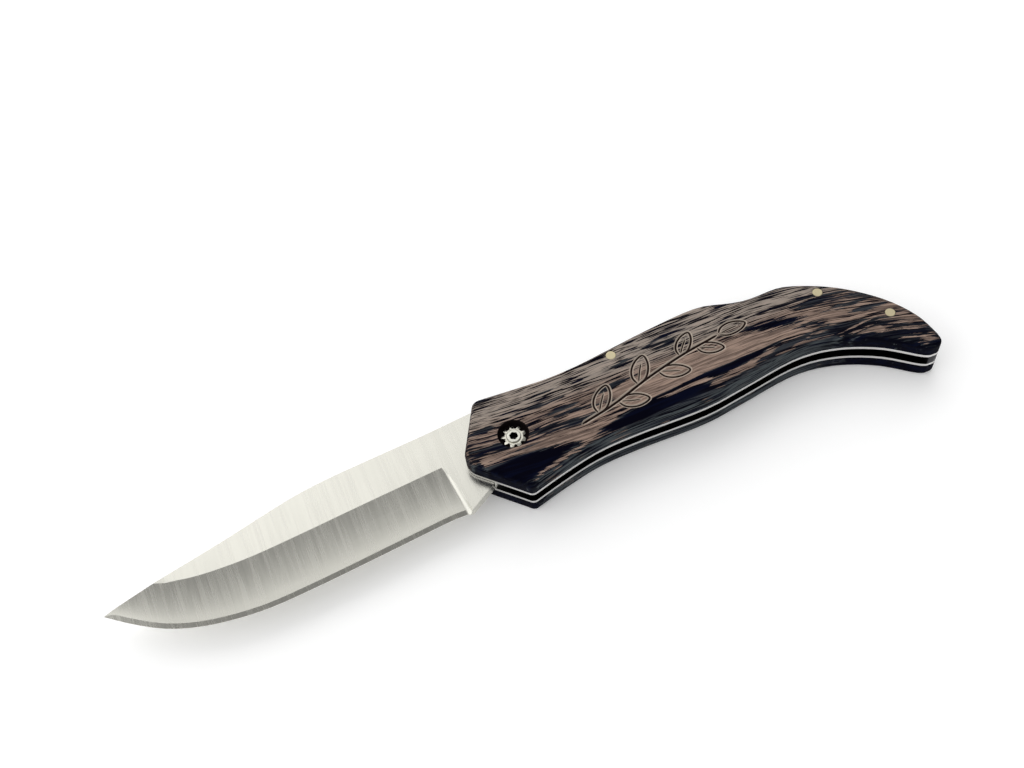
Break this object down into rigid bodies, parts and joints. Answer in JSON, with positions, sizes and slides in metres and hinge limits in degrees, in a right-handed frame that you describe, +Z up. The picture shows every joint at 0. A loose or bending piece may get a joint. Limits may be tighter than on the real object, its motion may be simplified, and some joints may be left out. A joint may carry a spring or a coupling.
{
  "type": "folding pocket knife",
  "caption": "Open back-lock folding pocket knife with a hollow-ground drop-point blade, wood scales on steel liners and a sprung lock bar in the spine.",
  "frame": {"origin": "middle of the knife's box on the plane it lies on, which is the lower scale's flat face", "axes": "+X from the blade's tip to the butt of the handle, +Y from the cutting edge to the spine, +Z up through the upper scale"},
  "size_m": [0.2062, 0.0356, 0.0125],
  "materials": {
    "blade_steel": "satin, ground across its length",
    "lock_steel": "satin, brushed along its length",
    "spacer_steel": "blackened",
    "spring_steel": "dull, tempered",
    "liner_steel": "satin, cut edges bright",
    "wood": "dark streaked hardwood, open grain, lightly waxed",
    "brass": "sanded flush",
    "bronze": "rolled sheet",
    "washer_steel": "pressed, bright zinc",
    "screw_steel": "turned, bright"
  },
  "bodies": {
    "handle": {"lower_scale": "wood", "upper_scale": "wood", "lower_liner": "liner_steel", "upper_liner": "liner_steel", "back_spacer": "spacer_steel", "lock_spring": "spring_steel", "lock_bar_pin": "brass", "spacer_pin_front": "brass", "spacer_pin_rear": "brass", "pivot_barrel": "screw_steel", "upper_tang_washer": "bronze", "lower_tang_washer": "bronze", "upper_star_washer": "washer_steel", "lower_star_washer": "washer_steel", "upper_pivot_screw": "screw_steel", "lower_pivot_screw": "screw_steel"},
    "blade": {"blade": "blade_steel"},
    "lock_bar": {"lock_bar": "lock_steel"}
  },
  "joints": [
    {"name": "blade_fold", "type": "hinge", "parent": "handle", "child": "blade", "pos_m": [-0.0009, 0.00306, 0.00625], "axis": [0, 0, 1], "range_deg": [0, 169.5]},
    {"name": "lock_release", "type": "hinge", "parent": "handle", "child": "lock_bar", "pos_m": [0.02934, 0.01346, 0.00625], "axis": [0, 0, -1], "range_deg": [0, 3.4], "stiffness_Nm_per_rad": 6, "springref_deg": -0.29, "deforming": ["lock_spring"]}
  ]
}
